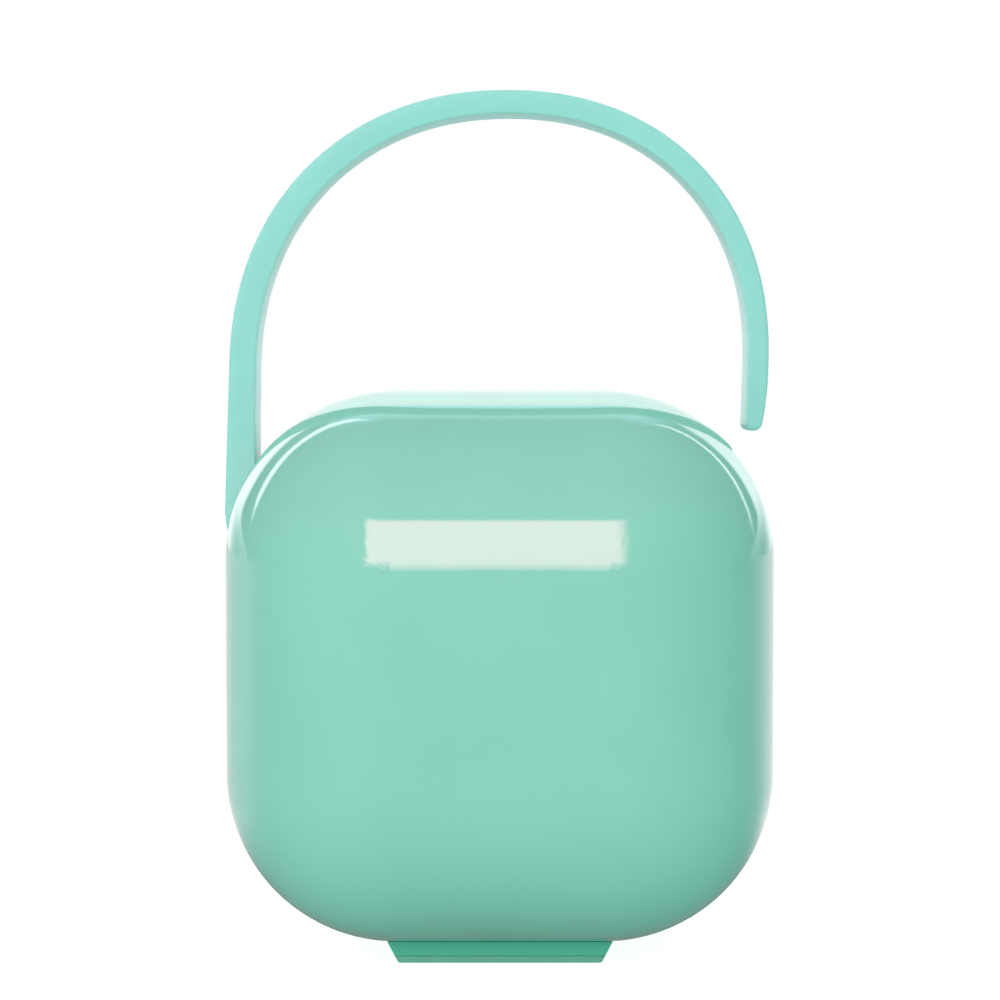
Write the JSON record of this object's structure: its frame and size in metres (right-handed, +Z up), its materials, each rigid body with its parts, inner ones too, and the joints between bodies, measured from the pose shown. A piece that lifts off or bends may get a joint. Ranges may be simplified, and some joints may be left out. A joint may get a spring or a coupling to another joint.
{
  "type": "pacifier sterilizer case",
  "caption": "Soft-cornered clamshell case on a small foot with an open hook handle, a side-hinged lid and a mirrored chamber with ultraviolet lamps for one pacifier.",
  "frame": {"origin": "middle of the foot's resting face, on the table", "axes": "+Z up along the handle, +Y towards the rear wall with the power button, so the lid faces -Y; +X to the hinge side"},
  "size_m": [0.0734, 0.0605, 0.1157],
  "materials": {
    "mint_shell": "gloss",
    "hook_plastic": "satin",
    "button_plastic": "satin",
    "mirror_plastic": "polished",
    "white_plastic": "matte",
    "seal_silicone": "matte",
    "mint_silicone": "matte",
    "pin_steel": "satin",
    "magnet_nickel": "polished",
    "quartz": "polished",
    "circuit_board": "satin",
    "led_ceramic": "satin",
    "black_plastic": "matte",
    "cell_foil": "satin",
    "clear_lens": "gloss"
  },
  "bodies": {
    "base": {"rear_shell": "mint_shell", "chamber_reflector": "mirror_plastic", "lid_seal": "seal_silicone", "hinge_pin": "pin_steel", "latch_spring": "pin_steel", "handle": "hook_plastic", "handle_screws": "pin_steel", "foot": "mint_shell", "foot_pad": "mint_silicone", "foot_screws": "pin_steel", "inner_frame": "white_plastic", "frame_screws": "pin_steel", "uv_led_board": "circuit_board", "uv_leds": "led_ceramic", "quartz_window": "quartz", "window_seal": "seal_silicone", "pacifier_rack": "white_plastic", "battery": "cell_foil", "main_board": "circuit_board", "board_screws": "pin_steel", "power_switch": "black_plastic", "indicator_lens": "clear_lens", "status_led": "led_ceramic", "usb_socket": "pin_steel", "lid_sensor": "black_plastic"},
    "lid": {"front_lid": "mint_shell", "lid_reflector": "mirror_plastic", "lid_magnet": "magnet_nickel"},
    "latch": {"latch_button": "mint_shell"},
    "power_key": {"power_button": "button_plastic", "switch_plunger": "black_plastic"},
    "port_flap": {"port_cover": "mint_silicone"}
  },
  "joints": [
    {"name": "lid_hinge", "type": "hinge", "parent": "base", "child": "lid", "pos_m": [0.0341, 0, 0.03935], "axis": [0, 0, 1], "range_deg": [0, 100]},
    {"name": "latch_press", "type": "slide", "parent": "base", "child": "latch", "axis": [1, 0, 0], "range_m": [0, 0.0012], "stiffness_N_per_m": 600, "springref_m": -0.001, "deforming": ["latch_spring"]},
    {"name": "power_press", "type": "slide", "parent": "base", "child": "power_key", "axis": [0, -1, 0], "range_m": [0, 0.0005], "stiffness_N_per_m": 1500, "springref_m": -0.0003},
    {"name": "port_flap_hinge", "type": "hinge", "parent": "base", "child": "port_flap", "pos_m": [-0.00655, 0.03, 0.02435], "axis": [0, 0, 1], "range_deg": [0, 100]}
  ]
}
